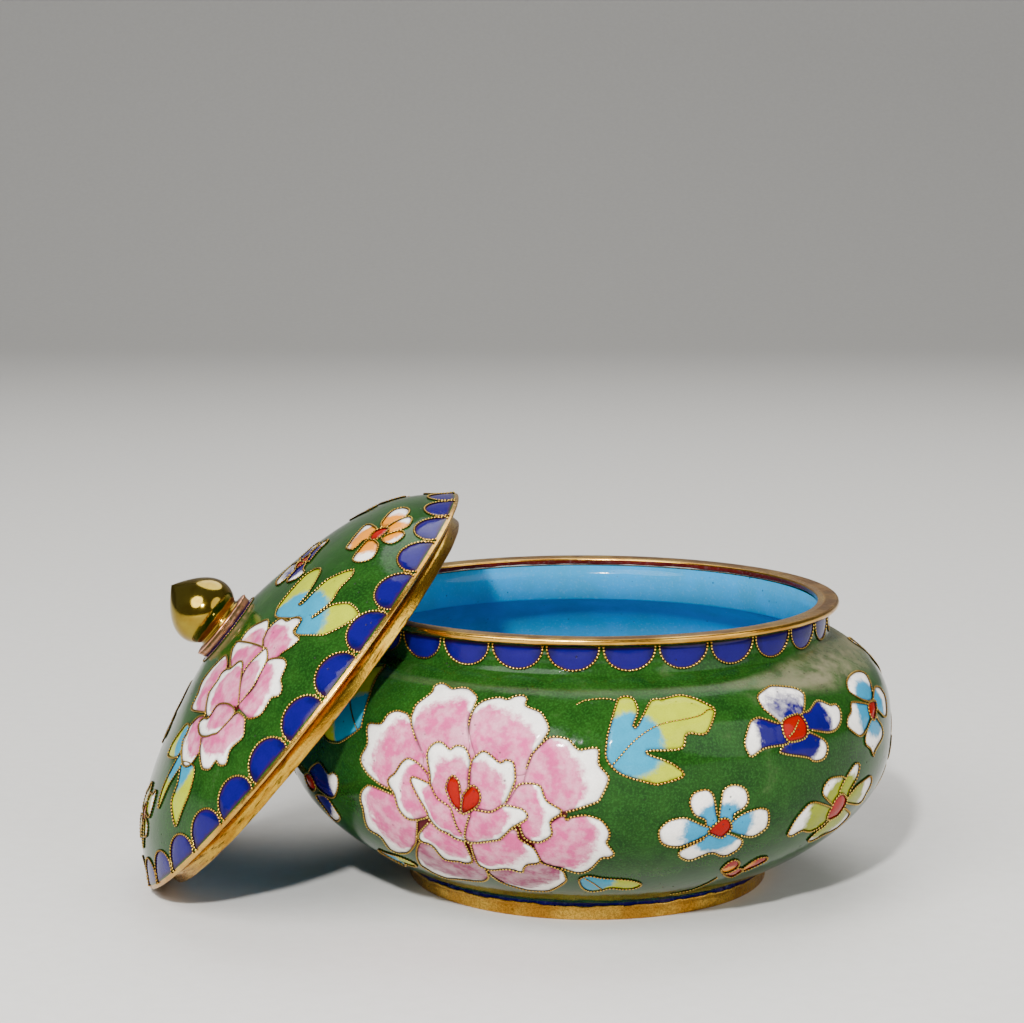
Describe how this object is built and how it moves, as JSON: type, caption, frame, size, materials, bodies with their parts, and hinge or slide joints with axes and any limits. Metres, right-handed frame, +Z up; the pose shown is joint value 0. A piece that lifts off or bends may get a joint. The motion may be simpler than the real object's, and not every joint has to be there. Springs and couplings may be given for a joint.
{
  "type": "cloisonne jar with lid",
  "caption": "Round lidded jar in green cloisonne enamel with flowers, gilt rings and a bud knob, its lid leaning on the mouth.",
  "frame": {"origin": "middle of the whole object's box in plan, on the floor that the jar's foot ring and the lid's edge stand on", "axes": "+X from the leaning lid towards the jar, +Y away from the viewer of the picture, +Z up"},
  "size_m": [0.13, 0.105, 0.0669],
  "materials": {
    "enamel_green": "glossy green cloisonne enamel with beaded gilt wires, light blue inside the jar",
    "gilt_brass": "worn gilding, polished on the knob and grainy on the foot ring"
  },
  "bodies": {
    "root": {"jar_body": "enamel_green", "mouth_rim": "gilt_brass", "foot_ring": "gilt_brass", "lid_dome": "enamel_green", "lid_flange": "gilt_brass", "knob_collar": "gilt_brass", "knob_finial": "gilt_brass"}
  },
  "joints": []
}
